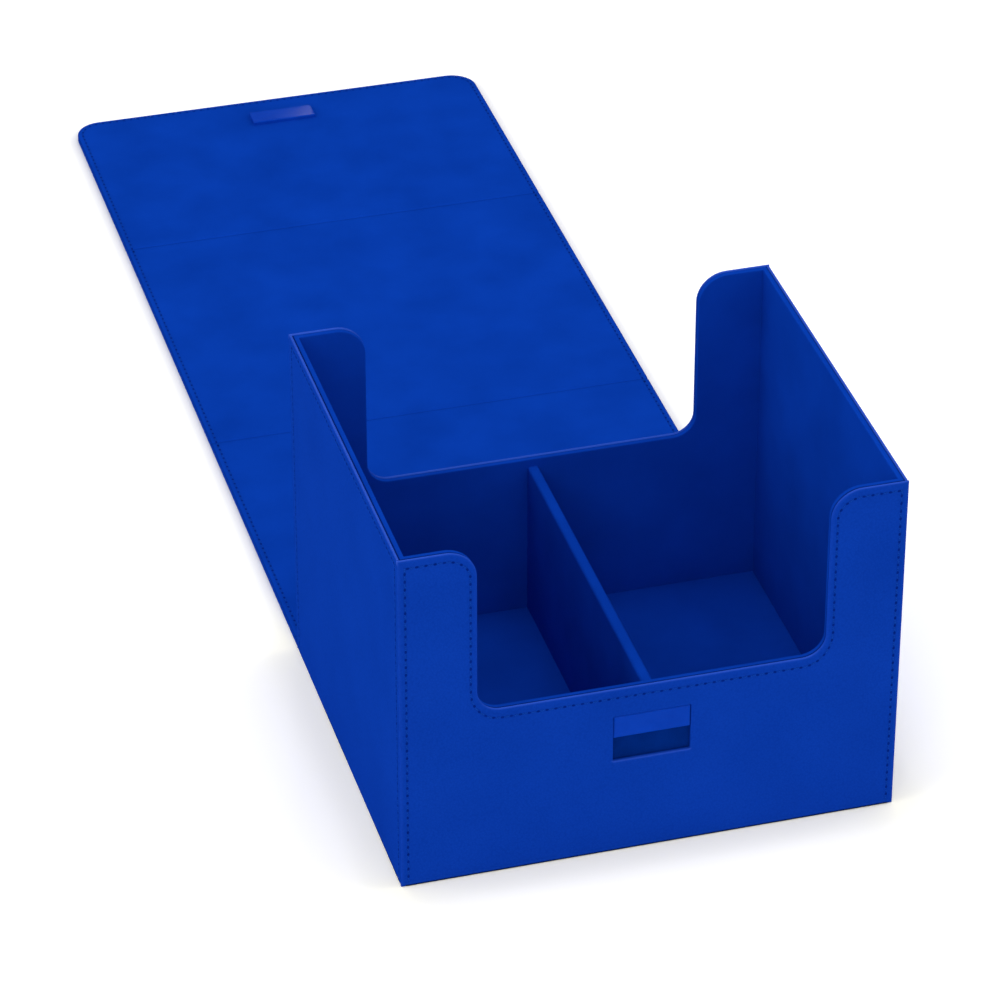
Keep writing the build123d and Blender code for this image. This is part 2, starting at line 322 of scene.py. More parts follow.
# Needle holes are coloured darker than the leather: painted shade in the pits.
NEEDLE_HOLE_SHADE = Finish("needle_hole", (2, 31, 114), (5, 41, 138), Grain.NAP, 0.3 * MM, 0.02 * MM,
                     patch_size=2 * MM)
LACQUER = Finish("blue_lacquer", (5, 56, 168), (9, 63, 180), Grain.PEEL, 2.5 * MM, 0.0015 * MM,
                 patch_size=14 * MM, rough=(0.35, 0.45), coat=0.04, coat_rough=0.05)
MATT_NAVY = Finish("matt_navy", (1, 34, 106), (3, 42, 124), Grain.PEBBLE, 0.35 * MM, 0.01 * MM,
                   patch_size=8 * MM)
GREY_BOARD = Finish("grey_board", (150, 143, 132), (182, 174, 162), Grain.FIBRE, 0.6 * MM, 0.05 * MM,
                    patch_size=5 * MM, grain_share=0.6, rough=(0.8, 0.95))
SHEET_STEEL = Finish("sheet_steel", (140, 142, 146), (176, 178, 182), Grain.BRUSHED, 0.3 * MM, 0.005 * MM,
                     patch_size=9 * MM, grain_share=0.6, rough=(0.3, 0.45), specular=0.5, metallic=1.0)
NICKEL = Finish("nickel_plate", (196, 194, 190), (220, 218, 212), Grain.PEEL, 1.2 * MM, 0.003 * MM,
                patch_size=6 * MM, rough=(0.12, 0.22), specular=0.5, metallic=1.0)


class Palette:
    """Keeps each finish's material once it has been built."""

    def __init__(self) -> None:
        """Starts empty."""
        self._made: dict[str, bpy.types.Material] = {}

    def get(self, finish: Finish) -> bpy.types.Material:
        """Returns the finish's material, building it at first use."""
        if finish.name not in self._made:
            self._made[finish.name] = finish.material()
        return self._made[finish.name]


@dataclass(frozen=True)
class CaseForm:
    """Sizes that the pieces share, read from the frame where its boxes hold them."""

    width: float
    depth: float
    height: float
    wall_skin: float
    wall: float
    lining: float
    rim_step: float
    board_drop: float
    room_foot: float
    cover_skin: float
    cover_face: float
    folds: tuple[float, float, float]
    seams: tuple[float, float, float, float]
    tower_width: float = 29.8 * MM
    tower_radius: float = 12 * MM
    cut_out_floor: float = 74.5 * MM
    cut_out_radius: float = 9 * MM
    flap_radius: float = 12 * MM
    wall_edge: float = 1.0 * MM
    stitch_pitch: float = 3.4 * MM

    @classmethod
    def from_frame(cls) -> "CaseForm":
        """Measures the CAD nodes.

        Returns:
            The sizes in metres.
        """
        low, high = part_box("front_skin")
        lining_low, lining_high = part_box("front_lining")
        cover_low, cover_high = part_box("back_panel_lining")
        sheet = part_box("base_lining")
        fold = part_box("rear_fold_skin")
        starts = (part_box(f"{name}_fold_skin")[0].y for name in ("rear", "top", "front"))
        return cls(
            width=high.x - low.x,
            depth=-2 * low.y,
            height=high.z,
            wall_skin=high.y - low.y,
            wall=lining_high.y - low.y,
            lining=sheet[1].z - sheet[0].z,
            rim_step=high.z - lining_high.z,
            board_drop=high.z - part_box("front_board")[1].z,
            room_foot=lining_low.z,
            cover_skin=fold[1].z - fold[0].z,
            cover_face=cover_high.z,
            folds=tuple(joint["pos_m"][1] for joint in frame["joints"]),
            seams=(*starts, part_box("flap_skin")[1].y),
        )


class Shell:
    """A mesh that is gathered ring by ring."""

    def __init__(self) -> None:
        """Starts with no points."""
        self.mesh = bmesh.new()
        self.wear_and_painted_light = self.mesh.verts.layers.float.new(WEAR_AND_PAINTED_LIGHT)

    def ring(self, points: Iterable[Vector], wear_and_painted_light: Sequence[float] | None = None) -> Ring:
        """Adds a row of points.

        Args:
            points: Where they lie.
            wear_and_painted_light: 1 where a point is painted light as a worn edge with a highlight, 0 where
                it is plain, -1 where it gets painted shade in a seam.

        Returns:
            The new points in order.
        """
        made = [self.mesh.verts.new(p) for p in points]
        for vert, wear_light_shade in zip(made, wear_and_painted_light or ()):
            vert[self.wear_and_painted_light] = wear_light_shade
        return made

    def bridge(self, first: Ring, second: Ring, closed: bool = True) -> None:
        """Joins two rows of equal count with quads."""
        count = len(first)
        for i in range(count if closed else count - 1):
            j = (i + 1) % count
            self.mesh.faces.new((first[i], first[j], second[j], second[i]))

    def loft(self, rings: Sequence[Ring]) -> None:
        """Joins closed rings in order."""
        for first, second in zip(rings, rings[1:]):
            self.bridge(first, second)

    def fill(self, *loops: Ring) -> None:
        """Fills the flat area inside the first loop and outside the others."""
        edges = []
        for loop in loops:
            for first, second in zip(loop, loop[1:] + loop[:1]):
                edges.append(self.mesh.edges.get((first, second)) or self.mesh.edges.new((first, second)))
        bmesh.ops.triangle_fill(self.mesh, use_beauty=True, use_dissolve=False, edges=edges)

    def face(self, points: Ring, slot: int = 0) -> None:
        """Adds one face."""
        self.mesh.faces.new(points).material_index = slot

    def finish(self, name: str, *materials: bpy.types.Material) -> bpy.types.Object:
        """Closes the mesh and puts it into the scene.

        Args:
            name: The object's name.
            materials: Its materials in slot order.

        Returns:
            The new object.
        """
        bmesh.ops.recalc_face_normals(self.mesh, faces=self.mesh.faces)
        data = bpy.data.meshes.new(name)
        self.mesh.to_mesh(data)
        self.mesh.free()
        for material in materials:
            data.materials.append(material)
        data.shade_smooth()
        data.set_sharp_from_angle(angle=SHARP_ANGLE)
        made = bpy.data.objects.new(name, data)
        bpy.context.scene.collection.objects.link(made)
        return made


def arc(centre: Flat, radii: Flat, start: float, end: float, steps: int) -> list[Flat]:
    """Points on an arc of an ellipse.

    Args:
        centre: Its middle.
        radii: Half axes.
        start: First angle in degrees.
        end: Last angle in degrees.
        steps: Number of chords.

    Returns:
        The points, both ends included.
    """
    angles = (math.radians(start + (end - start) * i / steps) for i in range(steps + 1))
    return [(centre[0] + radii[0] * math.cos(a), centre[1] + radii[1] * math.sin(a)) for a in angles]


def quarter(share: float) -> Flat:
    """A rounded edge of radius 1.

    Args:
        share: How much of the quarter turn is done, from 0 to 1.

    Returns:
        How far the edge has come in, and how far it still lies back.
    """
    turn = share * math.pi / 2
    return 1 - math.cos(turn), 1 - math.sin(turn)


@dataclass(frozen=True)
class Stitch:
    """One thread stitch and the needle hole it starts from."""

    length: float = 2.5 * MM
    radius: float = 0.26 * MM
    slant: float = math.radians(9)
    sides: int = 6
    bead: tuple[Flat, ...] = ((-0.9, 0.6), (-0.5, 0.95), (0.0, 1.0), (0.5, 0.95), (0.9, 0.6))
    hole: Flat = (0.68 * MM, 0.52 * MM)
    hole_sides: int = 8
    hole_rim: float = 0.09 * MM
    hole_floor: float = 0.06 * MM
    hole_root: float = -0.3 * MM

    def add(self, shell: Shell, centre: Vector, tangent: Vector, normal: Vector) -> None:
        """Lays the thread as an arched bead that dips into the leather at both ends."""
        along = Matrix.Rotation(self.slant, 3, normal) @ tangent
        across = normal.cross(along)
        rings = []
        for u, wide in self.bead:
            middle = centre + along * (u * self.length / 2) + normal * self.radius * (0.55 - 1.1 * u * u)
            radii = (1.15 * wide * self.radius, 0.85 * wide * self.radius)
            spots = arc((0.0, 0.0), radii, 0, 360, self.sides)[:-1]
            rings.append(shell.ring(middle + across * a + normal * b for a, b in spots))
        shell.loft(rings)
        for ring, u in ((rings[0], -1.0), (rings[-1], 1.0)):
            tip = shell.ring([centre + along * (u * self.length / 2) - normal * self.radius * 0.9])[0]
            for first, second in zip(ring, ring[1:] + ring[:1]):
                shell.face([first, second, tip])

    def add_hole(self, shell: Shell, centre: Vector, tangent: Vector, normal: Vector) -> None:
        """Sets a small pit between two stitches, coloured dark as painted shade."""
        across = normal.cross(tangent)
        spots = arc((0.0, 0.0), self.hole, 0, 360, self.hole_sides)[:-1]
        rim = shell.ring(centre + tangent * a + across * b + normal * self.hole_rim for a, b in spots)
        for lift in (self.hole_floor, self.hole_root):
            tip = shell.ring([centre + normal * lift])[0]
            for first, second in zip(rim, rim[1:] + rim[:1]):
                shell.face([first, second, tip], 1)


@dataclass(frozen=True)
class StitchRow:
    """A seam: stitches at an even pitch along a path on a surface."""

    path: list[Vector]
    normal: Vector
    pitch: float

    def sew(self, shell: Shell, stitch: Stitch) -> None:
        """Adds the row's stitches and holes.

        Args:
            shell: The mesh to add them to.
            stitch: The stitch's form.
        """
        lengths = [(b - a).length for a, b in zip(self.path, self.path[1:])]
        count = max(1, round(sum(lengths) / self.pitch))
        step = sum(lengths) / count
        for i in range(2 * count + 1):
            spot, tangent = self._at(i * step / 2, lengths)
            (stitch.add if i % 2 else stitch.add_hole)(shell, spot, tangent, self.normal)

    def _at(self, distance: float, lengths: Sequence[float]) -> tuple[Vector, Vector]:
        """Point and direction at a distance along the path."""
        for i, length in enumerate(lengths):
            if distance <= length or i == len(lengths) - 1:
                way = (self.path[i + 1] - self.path[i]).normalized()
                return self.path[i] + way * min(distance, length), way
            distance -= length
        raise ValueError("the path has no length")


class Side(Enum):
    """The box's walls, by the angle that each is turned from the front."""

    FRONT = 0
    RIGHT = 90
    REAR = 180
    LEFT = 270

    @property
    def label(self) -> str:
        """The wall's name in the frame."""
        return self.name.lower()

    @property
    def has_cut_out(self) -> bool:
        """Front and rear have the finger cut-out."""
        return self in (Side.FRONT, Side.REAR)


@dataclass(frozen=True)
class Inset:
    """How far a ring lies in from each kind of edge of a wall."""

    side: float = 0.0
    top: float = 0.0
    cut: float = 0.0
    floor: float = 0.0
    foot: float = 0.0

    def scaled(self, share: float) -> "Inset":
        """Each inset times a share."""
        return Inset(*(size * share for size in astuple(self)))

    def shifted(self, size: float) -> "Inset":
        """Each inset plus a size."""
        return Inset(*(own + size for own in astuple(self)))


@dataclass(frozen=True)
class RingStep:
    """One ring on a wall: its insets, its depth behind the outer face, its share of groove, and its painted
    light: above 0 edge wear with a painted highlight, below 0 painted shade.
    """

    inset: Inset
    depth: float
    groove: float = 0.0
    ring_wear_light_shade: float = 0.0
    side_wear_light_shade: float = 0.0


@dataclass(frozen=True)
class Wall:
    """One wall of the box: its leatherette skin, its suede lining and its seam."""

    form: CaseForm
    side: Side
    palette: Palette
    row: Inset = Inset(2.8 * MM, 3.6 * MM, 2.6 * MM, 4.0 * MM, 1.2 * MM)
    groove: float = 0.16 * MM
    groove_section: tuple[Flat, ...] = (
        (-0.9, 0.0), (-0.5, 0.55), (0.0, 1.0), (0.5, 0.55), (0.9, 0.0), (1.6, 0.0))
    corner_ease: float = 0.12 * MM
    # Sewn edges along the sides are painted slightly lighter: edge wear with a painted highlight.
    side_wear_light_shade: float = 0.05
    window_edge: float = 0.3 * MM
    window_corner: float = 0.5 * MM
    # The window's lower lip, which faces up, gets a painted highlight.
    lip_highlight: float = 0.45
    tray_wall: float = 0.8 * MM
    lining_ease: float = 0.6 * MM
    lining_bend: float = 0.45 * MM
    foot_gap: float = 2 * MM
    chords: int = 12

    @property
    def reach(self) -> float:
        """From the box's middle to the wall's outer face."""
        return (self.form.depth if self.side.has_cut_out else self.form.width) / 2

    @property
    def half(self) -> float:
        """Half of the box's size along the wall."""
        return (self.form.width if self.side.has_cut_out else self.form.depth) / 2

    def place(self, along: float, height: float, depth: float) -> Vector:
        """A point by its place along the wall, its height and its depth behind the outer face."""
        turn = Matrix.Rotation(math.radians(self.side.value), 3, "Z")
        return turn @ Vector((along, depth - self.reach, height))

    def outline(self, inset: Inset, half: float, foot: float) -> list[tuple[float, float, float, float]]:
        """The wall's outline, drawn in.

        Args:
            inset: How far it is drawn in at each kind of edge.
            half: Half of the outline's width before that.
            foot: Height of its lower edge before that.

        Returns:
            Place along the wall, height, 1 where the edge is sewn or 0 at the foot, and how far it faces up.
        """
        form, x, low, top = self.form, half - inset.side, foot + inset.foot, self.form.height - inset.top
        right = [(x, low + self.foot_gap, 1.0, 0.0), (x, top - self.foot_gap, 1.0, 0.0), (x, top, 1.0, 1.0)]
        if self.side.has_cut_out:
            cut = form.width / 2 - form.tower_width
            radius = form.tower_radius
            bend = form.cut_out_radius
            crown = arc((cut + radius, form.height - radius), (radius - inset.cut, radius - inset.top),
                        90, 180, self.chords)
            corner = arc((cut - bend, form.cut_out_floor + bend), (bend + inset.cut, bend + inset.floor),
                         0, -90, self.chords)
            right += [(a, z, 1.0, 1 - i / self.chords) for i, (a, z) in enumerate(crown)]
            right += [(a, z, 1.0, i / self.chords) for i, (a, z) in enumerate(corner)]
        left = [(-a, z, sewn, up) for a, z, sewn, up in reversed(right)]
        return [(-x, low, 0.0, 0.0), (x, low, 0.0, 0.0), *right, *left]

    def _ring(self, shell: Shell, step: RingStep, half: float, foot: float = 0.0) -> Ring:
        """Adds one ring of the wall."""
        spots = self.outline(step.inset, half, foot)
        points = [self.place(a, z, step.depth + step.groove * sewn * self.groove) for a, z, sewn, _ in spots]
        # Edges that face up get the ring's painted highlight, the sides get the side value.
        wear_light_shade = [sewn * (up * step.ring_wear_light_shade + (1 - up) * step.side_wear_light_shade) for _, _, sewn, up in spots]
        return shell.ring(points, wear_light_shade)

    def _skin_steps(self) -> list[RingStep]:
        """The skin from its hidden back, round its edge and over the seam to the face."""
        round_off = self.form.wall_edge
        crest, riser = 0.7 * round_off, 0.5 * round_off
        corner = 1.4 * round_off if self.side.has_cut_out else self.corner_ease
        edge = Inset(corner, 1.3 * round_off, 1.3 * round_off, 1.4 * round_off, 0.8 * round_off)
        # The back ring and the rounded edge are painted lighter, as edge wear with a painted highlight.
        steps = [RingStep(Inset(0, riser, riser, riser, 0), self.form.wall_skin, ring_wear_light_shade=0.7),
                 RingStep(Inset(0, 0.15 * riser, 0.15 * riser, 0.15 * riser, 0), 1.2 * crest, ring_wear_light_shade=0.9)]
        fading = ((0, 0.9), (0.15, 0.8), (0.3, 0.7), (0.45, 0.35), (0.6, 0.05), (0.8, 0.0), (1, 0.0))
        for share, ring_wear_light_shade in fading:
            inward, back = quarter(share)
            side_wear_light_shade = self.side_wear_light_shade * math.sin(math.pi * share)
            steps.append(RingStep(edge.scaled(inward), crest * back, 0.0, ring_wear_light_shade, side_wear_light_shade))
        for offset, share in self.groove_section:
            steps.append(RingStep(self.row.shifted(offset * MM), 0.0, share))
        return steps

    def skin(self) -> bpy.types.Object:
        """Makes the outer leatherette with its rounded edges and its seam's groove."""
        form, shell = self.form, Shell()
        half = self.half if self.side.has_cut_out else self.half - form.wall_skin
        rings = [self._ring(shell, step, half) for step in self._skin_steps()]
        shell.loft(rings)
        if self.side is Side.FRONT:
            window = self._window(shell)
            shell.loft(window)
            shell.fill(rings[-1], window[0])
            shell.fill(rings[0], window[-1])
        else:
            shell.fill(rings[-1])
            shell.fill(rings[0])
        return shell.finish(f"{self.side.label}_leatherette", self.palette.get(LEATHERETTE))

    def _window(self, shell: Shell) -> list[Ring]:
        """The closure's window through the front skin, from its face to its back."""
        low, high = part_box("recess_tray")
        across = (high.x - low.x) / 2 - self.tray_wall
        middle, tall = (low.z + high.z) / 2, (high.z - low.z) / 2 - self.tray_wall
        radius, rings = self.window_corner, []
        profile = [(self.window_edge * (1 - math.sin(t)), self.window_edge * (1 - math.cos(t)))
                   for t in (0.0, math.pi / 6, math.pi / 3, math.pi / 2)]
        for grow, depth in [(3 * self.window_edge, 0.0), *profile, (0.0, self.form.wall_skin)]:
            spots = []
            for sx, sz, start in ((1, 1, 0), (-1, 1, 90), (-1, -1, 180), (1, -1, 270)):
                centre = (sx * (across - radius), middle + sz * (tall - radius))
                spots += arc(centre, (radius + grow, radius + grow), start, start + 90, 4)
            # Only the window's lower lip, which faces up, gets the painted highlight.
            wear_light_shade = self.lip_highlight if 0 < len(rings) <= len(profile) else 0.0
            lip = [wear_light_shade if z < middle - tall + radius / 2 else 0.0 for _, z in spots]
            rings.append(shell.ring((self.place(a, z, depth) for a, z in spots), lip))
        return rings

    def suede(self) -> bpy.types.Object:
        """Makes the lining, which covers the inside and turns over the board's edge up to the skin."""
        form, shell = self.form, Shell()
        step, ease, bend = form.rim_step, self.lining_ease, self.lining_bend
        profile = [(form.board_drop, form.wall - form.lining, 0.0), (form.board_drop, form.wall_skin, -1.0)]
        # Negative values paint shade into the groove where the lining meets the skin.
        for share, seam in ((0.3, -1.0), (0.6, -0.9), (0.8, -0.6), (1, -0.1)):
            inward, back = quarter(share)
            profile.append((step + ease * back, form.wall_skin + ease * inward, seam))
        for share in (0, 0.25, 0.5, 0.75, 1):
            inward, back = quarter(share)
            profile.append((step + bend * inward, form.wall - bend * back, 0.0))
        steps = [RingStep(Inset(0, size, size, size, 0), depth, 0.0, seam, seam)
                 for size, depth, seam in profile]
        inner = step + 2 * bend
        steps.append(RingStep(Inset(bend, inner, inner, inner, bend), form.wall))
        rings = [self._ring(shell, ring, self.half - ring.depth, form.room_foot) for ring in steps]
        shell.loft(rings)
        shell.fill(rings[0])
        shell.fill(rings[-1])
        return shell.finish(f"{self.side.label}_suede", self.palette.get(SUEDE))

    def seam(self) -> bpy.types.Object:
        """Sews the row of stitches along the sides, the tower tops and the cut-out."""
        shell = Shell()
        half = self.half if self.side.has_cut_out else self.half - self.form.wall_skin
        spots = self.outline(self.row, half, 0.0)
        path = [self.place(a, z, self.groove) for a, z, _, _ in spots[1:] + spots[:1]]
        outward = self.place(0, 0, -1) - self.place(0, 0, 0)
        StitchRow(path, outward, self.form.stitch_pitch).sew(shell, Stitch())
        materials = self.palette.get(THREAD), self.palette.get(NEEDLE_HOLE_SHADE)
        return shell.finish(f"{self.side.label}_seam", *materials)

    def build(self) -> list[bpy.types.Object]:
        """Makes the wall's pieces and sets them on the box.

        Returns:
            The skin, the lining and the seam.
        """
        skin, suede, seam = self.skin(), self.suede(), self.seam()
        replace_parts(skin, f"{self.side.label}_skin")
        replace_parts(suede, f"{self.side.label}_lining")
        for piece, slot in ((skin, "leatherette"), (suede, "suede"), (seam, "leatherette")):
            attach(piece, "case")
        return [skin, suede, seam]


@dataclass(frozen=True)
class Bottom:
    """The box's bottom: leatherette under it and suede on it."""

    palette: Palette
    ease: float = 0.2 * MM

    def _sheet(self, name: str, node: str, finish: Finish, faces_up: bool) -> bpy.types.Object:
        """A flat sheet in a node's place with eased edges on its visible face."""
        low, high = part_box(node)
        face, back = (high.z, low.z) if faces_up else (low.z, high.z)
        inward = self.ease if faces_up else -self.ease
        shell, rings = Shell(), []
        profile = ((0, back), (0, face - inward), (0.3 * self.ease, face - 0.3 * inward), (self.ease, face),
                   (6 * self.ease, face))
        for inset, z in profile:
            rings.append(shell.ring(Vector((sx * (high.x - inset), sy * (high.y - inset), z))
                                    for sx, sy in ((-1, -1), (1, -1), (1, 1), (-1, 1))))
        shell.loft(rings)
        shell.face(rings[0])
        shell.face(rings[-1])
        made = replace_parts(shell.finish(name, self.palette.get(finish)), node)
        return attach(made, "case")

    def build(self) -> list[bpy.types.Object]:
        """Makes both sheets.

        Returns:
            The leatherette and the suede.
        """
        under = self._sheet("bottom_leatherette", "base_skin", LEATHERETTE, False)
        inside = self._sheet("bottom_suede", "base_lining", SUEDE, True)
        return [under, inside]


@dataclass(frozen=True)
class Divider:
    """The suede that is folded over the divider's board."""

    palette: Palette
    bend: float = 1.1 * MM

    def build(self) -> list[bpy.types.Object]:
        """Makes the sleeve.

        Returns:
            The one piece.
        """
        low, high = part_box("divider_lining")
        inner_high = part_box("divider_board")[1]
        foot, top = low.z, inner_high.z
        shoulder = (high.x - self.bend, high.z - self.bend)
        outer = [(high.x, foot), *arc(shoulder, (self.bend, self.bend), 0, 90, 6)]
        inner = [(inner_high.x, top), (inner_high.x, foot)]
        section = outer + [(-x, z) for x, z in reversed(outer)]
        section += [(-x, z) for x, z in reversed(inner)] + inner
        shell = Shell()
        rings = [shell.ring(Vector((x, y, z)) for x, z in section) for y in (low.y, high.y)]
        shell.loft(rings)
        for ring in rings:
            shell.face(ring)
        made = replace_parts(shell.finish("divider_suede", self.palette.get(SUEDE)), "divider_lining")
        return [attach(made, "case")]


@dataclass(frozen=True)
class CoverSheet:
    """A stretch of the cover from just before one fold to just before the next."""

    form: CaseForm
    palette: Palette
    label: str
    bodies: tuple[str, str]
    nodes: tuple[str, str]
    index: int
    row: float = 2.3 * MM
    groove: float = 0.14 * MM
    outer_groove: float = 0.3 * MM
    groove_section: tuple[Flat, ...] = (
        (-1.0, 0.0), (-0.5, 0.55), (0.0, 1.0), (0.5, 0.55), (1.0, 0.0), (1.8, 0.0))
    crease: float = 0.45 * MM
    crease_half: float = 1.4 * MM
    crease_line: float = 0.1 * MM
    crease_shade: float = 0.4
    # The cover's turned edge is painted lighter: edge wear with a painted highlight.
    edge_wear_highlight: float = 0.2
    reach: float = 2.4 * MM
    rear_lead: float = 0.4 * MM
    suede_bend: float = 0.4 * MM
    skin_bend: float = 0.6 * MM
    panel_steps: int = 8

    @property
    def near(self) -> float:
        """Where the stretch starts."""
        return self.form.seams[self.index]

    @property
    def far(self) -> float:
        """Where it ends."""
        return self.form.seams[self.index + 1]

    @property
    def fold(self) -> float:
        """Its fold's axis."""
        return self.form.folds[self.index]

    @property
    def bend_start(self) -> float:
        """Where the bend starts, which at the rear is close to the axis, so that it stays off the table."""
        return self.fold - (self.rear_lead if self.index == 0 else self.reach)

    @property
    def is_flap(self) -> bool:
        """The last stretch has the cover's free, rounded end."""
        return self.index == 2

    def dip(self, y: float) -> float:
        """How far the suede sinks in the crease."""
        share = abs(y - self.fold) / self.crease_half
        return 0.0 if share >= 1 else self.crease * (1 + math.cos(math.pi * share)) / 2

    def shade(self, y: float) -> float:
        """How much painted shade the line at the bottom of the crease gets."""
        return self.crease_shade if abs(y - self.fold) < self.crease_line else 0.0

    def half_outline(self, inset: float) -> list[Flat]:
        """The right-hand edge from the near to the far end, drawn in by an inset."""
        form = self.form
        x = form.width / 2
        last = self.far - form.flap_radius if self.is_flap else self.far
        bend = [self.fold + i * 0.2 * self.reach for i in range(-6, 7)]
        stations = [self.near, *(y for y in bend if y > self.near + 0.1 * MM)]
        step = (last - stations[-1]) / self.panel_steps
        panel = [stations[-1] + step * i for i in range(1, self.panel_steps + 1)]
        edge = [(x - inset, y) for y in stations + panel]
        if self.is_flap:
            radius = form.flap_radius
            edge += arc((x - radius, last), (radius - inset, radius - inset), 0, 90, 12)[1:]
        return edge

    def _sheet(self, name: str, finish: Finish, profile: Sequence[tuple[float, float, float, float]],
               sinks_above: float) -> bpy.types.Object:
        """A closed sheet with mirrored edges.

        Args:
            name: The object's name.
            finish: Its material.
            profile: Inset, height, groove depth and painted light of each ring, which is edge wear with a
                painted highlight above 0 and painted shade below 0.
            sinks_above: Points above this height follow the crease.

        Returns:
            The new object.
        """
        shell, rows = Shell(), []
        for inset, z, groove, ring_wear_light_shade in profile:
            edge = self.half_outline(inset)
            heights = [z - groove - (self.dip(y) if z > sinks_above else 0.0) for _, y in edge]
            # Edge wear with a painted highlight, less the painted shade along the crease.
            wear_light_shade = [ring_wear_light_shade - self.shade(y) if z > sinks_above else ring_wear_light_shade for _, y in edge]
            rows.append([shell.ring((Vector((sign * x, y, h)) for (x, y), h in zip(edge, heights)), wear_light_shade)
                         for sign in (1, -1)])
        for (right, left), (next_right, next_left) in zip(rows, rows[1:]):
            shell.bridge(right, next_right, closed=False)
            shell.bridge(left, next_left, closed=False)
            if self.is_flap:
                shell.face([right[-1], left[-1], next_left[-1], next_right[-1]])
        for right, left in (rows[0], rows[-1]):
            shell.bridge(right, left, closed=False)
        for end in (0,) if self.is_flap else (0, -1):
            shell.face([right[end] for right, _ in rows] + [left[end] for _, left in reversed(rows)])
        return shell.finish(name, self.palette.get(finish))

    def _seam_profile(self, face: float, sink: float) -> list[tuple[float, float, float, float]]:
        """Rings across the seam's groove."""
        return [(self.row + offset * MM, face, share * sink, 0.0) for offset, share in self.groove_section]

    def suede(self) -> bpy.types.Object:
        """Makes the lining that faces up when the cover lies open."""
        top, bend = self.form.cover_face, self.suede_bend
        low = top - self.form.lining
        profile = [(0.1 * MM, low, 0.0, -1.0), (0.0, low + 0.1 * MM, 0.0, -1.0)]
        # Negative values paint shade along the lining's edge, where it meets the skin.
        for share, seam in ((0, -0.9), (0.25, -0.5), (0.5, -0.1), (0.75, 0.0), (1, 0.0)):
            inward, back = quarter(share)
            profile.append((3 * bend * inward, top - bend * back, 0.0, seam))
        return self._sheet(f"{self.label}_suede", SUEDE, profile + self._seam_profile(top, self.groove), 0.0)

    def skin(self) -> bpy.types.Object:
        """Makes the leatherette that lies under the boards and is turned up round their edges."""
        form, bend = self.form, self.skin_bend
        top = form.cover_face - form.lining
        profile = [(form.cover_skin, form.cover_skin, 0.0, 0.0), (form.cover_skin, top, 0.0, 0.0),
                   (0.15 * MM, top, 0.0, 0.0), (0.0, top - 0.15 * MM, 0.0, 0.0)]
        for share in (0, 0.25, 0.5, 0.75, 1):
            inward, back = quarter(share)
            # The turned edge's middle is painted lighter: edge wear with a painted highlight.
            profile.append((bend * inward, bend * back, 0.0, self.edge_wear_highlight * math.sin(math.pi * share)))
        profile += self._seam_profile(0.0, -self.outer_groove)
        return self._sheet(f"{self.label}_leatherette", LEATHERETTE, profile, form.cover_face / 2)

    def seam(self, name: str, face: float, groove: float, normal: Vector) -> bpy.types.Object:
        """Sews the rows along the edges on one side of the cover."""
        shell = Shell()
        sinks = normal.z > 0
        right = [Vector((x, y, face - normal.z * groove - (self.dip(y) if sinks else 0.0)))
                 for x, y in self.half_outline(self.row)]
        left = [Vector((-p.x, p.y, p.z)) for p in reversed(right)]
        for path in [right + left] if self.is_flap else [right, left]:
            StitchRow(path, normal, self.form.stitch_pitch).sew(shell, Stitch())
        return shell.finish(name, self.palette.get(THREAD), self.palette.get(NEEDLE_HOLE_SHADE))

    def build(self) -> list[bpy.types.Object]:
        """Makes the stretch's pieces.

        Returns:
            The skin, the lining and the seams on both.
        """
        skin, suede = self.skin(), self.suede()
        for piece, layer in ((skin, "skin"), (suede, "lining")):
            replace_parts(piece, *(f"{node}_{layer}" for node in self.nodes))
        inner = self.seam(f"{self.label}_suede_seam", self.form.cover_face, self.groove, Vector((0, 0, 1)))
        outer = self.seam(f"{self.label}_leatherette_seam", 0.0, self.outer_groove, Vector((0, 0, -1)))
        slots = ("leatherette", "suede", "suede", "leatherette")
        for piece, slot in zip((skin, suede, inner, outer), slots):
            self.bend_start
            self.fold + self.reach
            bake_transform(piece)
        return [skin, suede, inner, outer]


@dataclass(frozen=True)
class HardParts:
    """The pieces that keep their CAD shape: boards, closure plates, tray, keeper and magnets."""

    palette: Palette

    def build(self) -> list[bpy.types.Object]:
        """Gives each shown CAD node its finish.

        Returns:
            The nodes in the frame's order.
        """
        special = {"recess_tray": MATT_NAVY, "front_plate": LACQUER, "flap_plate": LACQUER,
                   "keeper_plate": SHEET_STEEL, "flap_magnets": NICKEL}
        shown = []
        for name, piece in frame["nodes"].items():
            if piece.hide_render:
                continue
            finish = special.get(name, GREY_BOARD)
            for slot in piece.material_slots:
                slot.material = self.palette.get(finish)
            shown.append(piece)
        return shown


@dataclass(frozen=True)
class Softbox:
    """A rectangular studio lamp."""

    name: str
    place: tuple[float, float, float]
    size: Flat
    power: float
    roll: float = 0.0

    def build(self, target: Vector) -> bpy.types.Object:
        """Adds the lamp and turns it to a target."""
        data = bpy.data.lights.new(self.name, "AREA")
        data.shape = "RECTANGLE"
        data.size, data.size_y = self.size
        data.energy = self.power
        lamp = bpy.data.objects.new(self.name, data)
        lamp.location = self.place
        aim = (target - Vector(self.place)).to_track_quat("-Z", "Y")
        lamp.rotation_euler = (aim.to_matrix() @ Matrix.Rotation(math.radians(self.roll), 3, "Z")).to_euler()
        bpy.context.scene.collection.objects.link(lamp)
        return lamp


